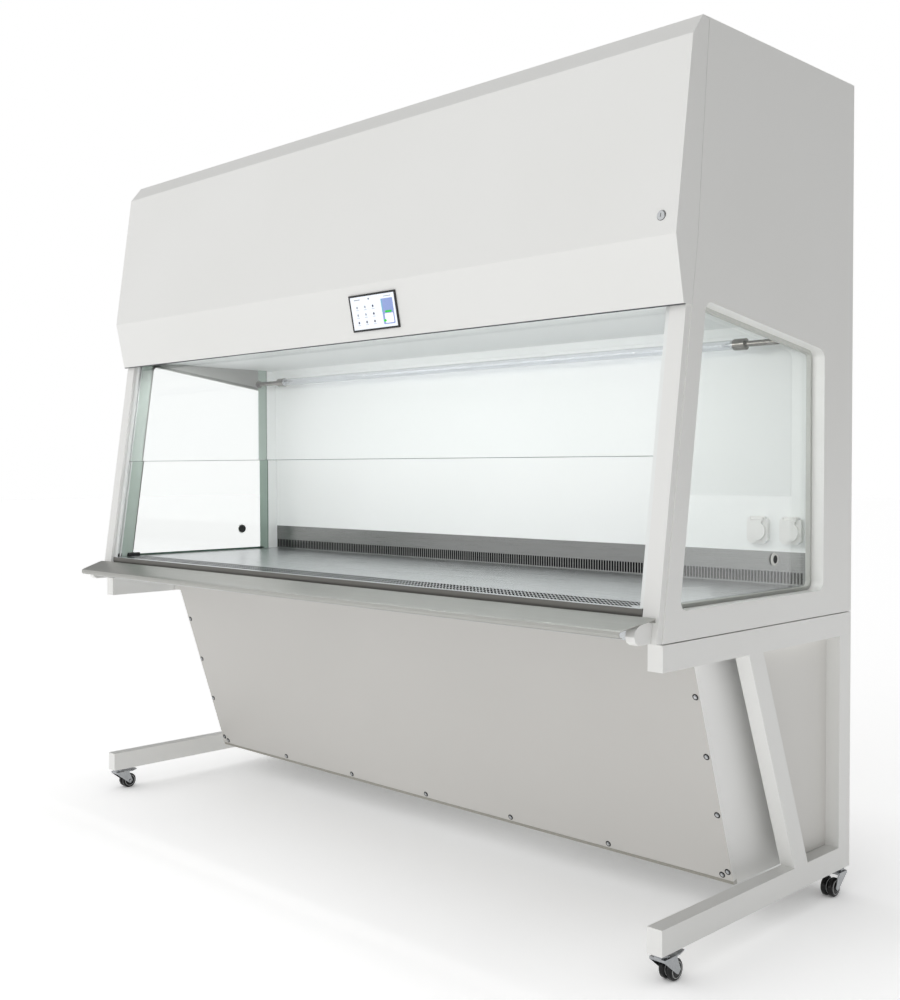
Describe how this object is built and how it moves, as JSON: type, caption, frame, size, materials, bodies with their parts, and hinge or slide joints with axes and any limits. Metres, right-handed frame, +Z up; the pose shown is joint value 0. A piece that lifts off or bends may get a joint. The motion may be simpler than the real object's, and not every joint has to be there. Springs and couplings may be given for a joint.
{
  "type": "biological safety cabinet",
  "caption": "Wide steel safety cabinet on a wheeled stand: sloping sliding sash, hinged hood front, side windows, steel worktop, armrest and knee space.",
  "frame": {"origin": "on the floor, under the middle of the bounding box", "axes": "+Z up, +X to the user's right when facing the cabinet, -Y out of the front towards the user"},
  "size_m": [2.368, 0.98, 2.145],
  "materials": {
    "white_paint": "semi-gloss",
    "grey_paint": "satin",
    "stainless": "fine brushed",
    "screws": "bright",
    "glass": "clear",
    "lamp_glass": "clear",
    "grey_rubber": "matt",
    "black_rubber": "matt",
    "tyre": "matt",
    "chrome": "polished",
    "zinc": "bright zinc",
    "aluminium": "satin anodised",
    "steel": "turned",
    "steel_sheet": "satin",
    "motor": "satin",
    "filter": "matt",
    "white_plastic": "matt",
    "black_plastic": "gloss",
    "screen": "gloss"
  },
  "bodies": {
    "cabinet": {"stand_side_left": "grey_paint", "stand_side_right": "grey_paint", "cross_rails": "grey_paint", "knee_panel": "grey_paint", "service_box": "grey_paint", "panel_screws": "screws", "side_panel_left": "white_paint", "side_panel_right": "white_paint", "side_glass_left": "glass", "side_glass_right": "glass", "window_seals": "grey_rubber", "side_ports": "black_rubber", "rear_panel": "grey_paint", "top_cover": "white_paint", "back_wall": "white_paint", "rear_grille": "stainless", "ceiling_diffuser": "white_paint", "ceiling_trim": "white_paint", "front_grille": "stainless", "sump_pan": "stainless", "armrest": "stainless", "armrest_brackets": "white_paint", "sash_guides": "aluminium", "drive_belts": "black_rubber", "sash_motor": "motor", "supply_filter": "filter", "exhaust_filter": "filter", "fan_deck": "steel_sheet", "blower_housings": "steel_sheet", "control_box": "steel_sheet", "work_light": "white_plastic", "uv_tube": "lamp_glass", "uv_holders": "white_plastic", "socket_bases": "white_plastic", "worktop_tray_1": "stainless", "worktop_tray_2": "stainless", "worktop_tray_3": "stainless", "worktop_tray_4": "stainless"},
    "sash": {"sash_glass": "glass", "sash_clamps": "aluminium"},
    "drive_shaft": {"sash_drive_shaft": "steel"},
    "idlers": {"idler_pulleys": "steel"},
    "cover": {"front_cover": "white_paint", "display_bezel": "black_plastic", "display_screen": "screen"},
    "lock": {"lock_cylinder": "chrome"},
    "fan_left": {"impeller_left": "white_plastic"},
    "fan_right": {"impeller_right": "white_plastic"},
    "lid_1": {"socket_lid_1": "white_plastic"},
    "lid_2": {"socket_lid_2": "white_plastic"},
    "swivel_front_left": {"castor_fork_front_left": "zinc"},
    "wheels_front_left": {"castor_wheels_front_left": "tyre"},
    "pedal_left": {"brake_pedal_left": "zinc"},
    "swivel_front_right": {"castor_fork_front_right": "zinc"},
    "wheels_front_right": {"castor_wheels_front_right": "tyre"},
    "pedal_right": {"brake_pedal_right": "zinc"},
    "swivel_rear_left": {"castor_fork_rear_left": "zinc"},
    "wheels_rear_left": {"castor_wheels_rear_left": "tyre"},
    "swivel_rear_right": {"castor_fork_rear_right": "zinc"},
    "wheels_rear_right": {"castor_wheels_rear_right": "tyre"}
  },
  "joints": [
    {"name": "sash_travel", "type": "slide", "parent": "cabinet", "child": "sash", "axis": [0, 0.1444, 0.9895], "range_m": [-0.334, 0.15]},
    {"name": "shaft_turn", "type": "hinge", "parent": "cabinet", "child": "drive_shaft", "pos_m": [0, -0.13808, 2.098], "axis": [-1, 0, 0], "range_deg": [-900, 406]},
    {"name": "idler_turn", "type": "hinge", "parent": "cabinet", "child": "idlers", "pos_m": [0, -0.21919, 1.542], "axis": [-1, 0, 0], "range_deg": [-900, 406]},
    {"name": "cover_hinge", "type": "hinge", "parent": "cabinet", "child": "cover", "pos_m": [0, -0.221, 2.139], "axis": [-1, 0, 0], "range_deg": [0, 78]},
    {"name": "lock_turn", "type": "hinge", "parent": "cover", "child": "lock", "pos_m": [1.14, -0.32257, 1.693], "axis": [0, 0.9899, -0.1415], "range_deg": [-90, 0]},
    {"name": "swivel_front_left_turn", "type": "hinge", "parent": "cabinet", "child": "swivel_front_left", "pos_m": [-1.163, -0.349, 0.06], "axis": [0, 0, 1], "continuous": true},
    {"name": "wheels_front_left_roll", "type": "hinge", "parent": "swivel_front_left", "child": "wheels_front_left", "pos_m": [-1.163, -0.313, 0.025], "axis": [1, 0, 0], "continuous": true},
    {"name": "pedal_left_press", "type": "hinge", "parent": "swivel_front_left", "child": "pedal_left", "pos_m": [-1.163, -0.322, 0.0577], "axis": [-1, 0, 0], "range_deg": [0, 14]},
    {"name": "swivel_front_right_turn", "type": "hinge", "parent": "cabinet", "child": "swivel_front_right", "pos_m": [1.163, -0.349, 0.06], "axis": [0, 0, 1], "continuous": true},
    {"name": "wheels_front_right_roll", "type": "hinge", "parent": "swivel_front_right", "child": "wheels_front_right", "pos_m": [1.163, -0.313, 0.025], "axis": [1, 0, 0], "continuous": true},
    {"name": "pedal_right_press", "type": "hinge", "parent": "swivel_front_right", "child": "pedal_right", "pos_m": [1.163, -0.322, 0.0577], "axis": [-1, 0, 0], "range_deg": [0, 14]},
    {"name": "swivel_rear_left_turn", "type": "hinge", "parent": "cabinet", "child": "swivel_rear_left", "pos_m": [-1.163, 0.46, 0.06], "axis": [0, 0, 1], "continuous": true},
    {"name": "wheels_rear_left_roll", "type": "hinge", "parent": "swivel_rear_left", "child": "wheels_rear_left", "pos_m": [-1.163, 0.424, 0.025], "axis": [1, 0, 0], "continuous": true},
    {"name": "swivel_rear_right_turn", "type": "hinge", "parent": "cabinet", "child": "swivel_rear_right", "pos_m": [1.163, 0.46, 0.06], "axis": [0, 0, 1], "continuous": true},
    {"name": "wheels_rear_right_roll", "type": "hinge", "parent": "swivel_rear_right", "child": "wheels_rear_right", "pos_m": [1.163, 0.424, 0.025], "axis": [1, 0, 0], "continuous": true},
    {"name": "lid_1_hinge", "type": "hinge", "parent": "cabinet", "child": "lid_1", "pos_m": [0.996, 0.317, 1.001], "axis": [-1, 0, 0], "range_deg": [0, 95], "stiffness_Nm_per_rad": 0.02},
    {"name": "lid_2_hinge", "type": "hinge", "parent": "cabinet", "child": "lid_2", "pos_m": [1.093, 0.317, 1.001], "axis": [-1, 0, 0], "range_deg": [0, 95], "stiffness_Nm_per_rad": 0.02},
    {"name": "fan_left_turn", "type": "hinge", "parent": "cabinet", "child": "fan_left", "pos_m": [-0.56, 0.07, 1.72], "axis": [0, 0, 1], "continuous": true},
    {"name": "fan_right_turn", "type": "hinge", "parent": "cabinet", "child": "fan_right", "pos_m": [0.56, 0.07, 1.72], "axis": [0, 0, 1], "continuous": true}
  ],
  "couplings": [
    {"joint": "shaft_turn", "follows": "sash_travel", "rad_per_m": 46.9},
    {"joint": "idler_turn", "follows": "sash_travel", "rad_per_m": 46.9}
  ]
}
